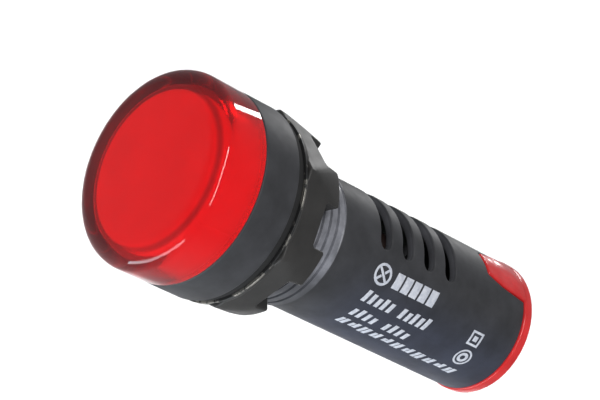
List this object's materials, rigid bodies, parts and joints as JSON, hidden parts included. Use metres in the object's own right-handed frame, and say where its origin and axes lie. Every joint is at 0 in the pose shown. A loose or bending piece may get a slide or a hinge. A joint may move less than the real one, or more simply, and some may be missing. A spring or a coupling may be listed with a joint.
{
  "type": "panel indicator lamp",
  "caption": "Round red LED pilot lamp for a 22 mm panel hole, with a threaded barrel, castellated lock nut, vent slots and screw terminals under a red rear cover.",
  "frame": {"origin": "centre of the bezel's rear face, where the lamp seats on its panel", "axes": "+Y along the lamp's axis from the lens towards the terminals, +Z towards the upper row of vents"},
  "size_m": [0.031, 0.0737, 0.0313],
  "materials": {
    "black_nylon": "fine moulded matte",
    "red_lens": "clear tinted gloss",
    "red_diffuser": "smooth translucent",
    "lamp_board": "white solder mask",
    "led_epoxy": "clear red epoxy",
    "tinned_pin": "tinned",
    "board_laminate": "green solder mask",
    "capacitor_case": "dipped epoxy",
    "capacitor_sleeve": "shrink sleeve over an aluminium can",
    "diode_body": "moulded epoxy",
    "diode_glass": "orange glass",
    "resistor_lacquer": "lacquer",
    "carrier_plastic": "moulded matte",
    "terminal_brass": "plain brass",
    "zinc_steel": "zinc plated",
    "red_cover": "glossy translucent red",
    "gasket_rubber": "soft matte",
    "washer_steel": "blackened, worn bright at the rim",
    "nut_nylon": "moulded matte, worn edges"
  },
  "bodies": {
    "housing": {"housing": "black_nylon", "lens_cap": "red_lens", "diffuser": "red_diffuser", "led_board": "lamp_board", "leds": "led_epoxy", "link_pins": "tinned_pin", "main_board": "board_laminate", "film_capacitor": "capacitor_case", "electrolytic_capacitor": "capacitor_sleeve", "rectifier_diodes": "diode_body", "zener_diode": "diode_glass", "series_resistor": "resistor_lacquer", "terminal_carrier": "carrier_plastic", "terminal_plate_a": "terminal_brass", "terminal_plate_b": "terminal_brass", "panel_gasket": "gasket_rubber"},
    "washer": {"lock_washer": "washer_steel"},
    "nut": {"lock_nut": "nut_nylon"},
    "clamp_a": {"clamp_washer_a": "zinc_steel"},
    "screw_a": {"terminal_screw_a": "zinc_steel"},
    "clamp_b": {"clamp_washer_b": "zinc_steel"},
    "screw_b": {"terminal_screw_b": "zinc_steel"},
    "cover": {"terminal_cover": "red_cover"}
  },
  "joints": [
    {"name": "nut_travel", "type": "slide", "parent": "housing", "child": "washer", "axis": [0, 1, 0], "range_m": [0, 0.0125]},
    {"name": "nut_spin", "type": "hinge", "parent": "washer", "child": "nut", "pos_m": [0, 0.0055, 0], "axis": [0, 1, 0], "range_deg": [0, 3010]},
    {"name": "screw_a_travel", "type": "slide", "parent": "housing", "child": "clamp_a", "axis": [0, 1, 0], "range_m": [0, 0.0018]},
    {"name": "screw_a_spin", "type": "hinge", "parent": "clamp_a", "child": "screw_a", "pos_m": [0, 0.052, 0.0052], "axis": [0, 1, 0], "range_deg": [0, 1300]},
    {"name": "screw_b_travel", "type": "slide", "parent": "housing", "child": "clamp_b", "axis": [0, 1, 0], "range_m": [0, 0.0018]},
    {"name": "screw_b_spin", "type": "hinge", "parent": "clamp_b", "child": "screw_b", "pos_m": [0, 0.052, -0.0052], "axis": [0, 1, 0], "range_deg": [0, 1300]},
    {"name": "cover_pull", "type": "slide", "parent": "housing", "child": "cover", "axis": [0, 1, 0], "range_m": [0, 0.012]}
  ],
  "couplings": [
    {"joint": "nut_spin", "follows": "nut_travel", "rad_per_m": 4188.8},
    {"joint": "screw_a_spin", "follows": "screw_a_travel", "rad_per_m": 12566},
    {"joint": "screw_b_spin", "follows": "screw_b_travel", "rad_per_m": 12566}
  ]
}
